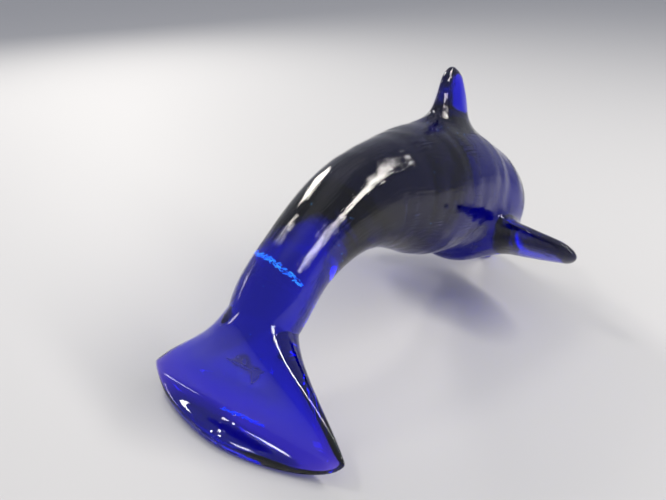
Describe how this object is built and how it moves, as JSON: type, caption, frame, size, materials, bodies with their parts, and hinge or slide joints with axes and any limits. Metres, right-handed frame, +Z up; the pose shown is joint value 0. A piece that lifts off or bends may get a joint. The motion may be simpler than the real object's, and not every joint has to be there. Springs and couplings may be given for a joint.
{
  "type": "glass dolphin figurine",
  "caption": "Solid blue glass dolphin figurine, arched, standing on its tail flukes and the tip of its beak.",
  "frame": {"origin": "on the ground, in the middle of the figurine's length and width", "axes": "+X towards the head, +Y to the dolphin's left, +Z up"},
  "size_m": [0.1482, 0.0964, 0.0788],
  "materials": {
    "cobalt_glass": "fire-polished solid cobalt-blue glass"
  },
  "bodies": {
    "root": {"body": "cobalt_glass", "tail": "cobalt_glass", "dorsal_fin": "cobalt_glass", "left_pectoral_fin": "cobalt_glass", "right_pectoral_fin": "cobalt_glass"}
  },
  "joints": []
}
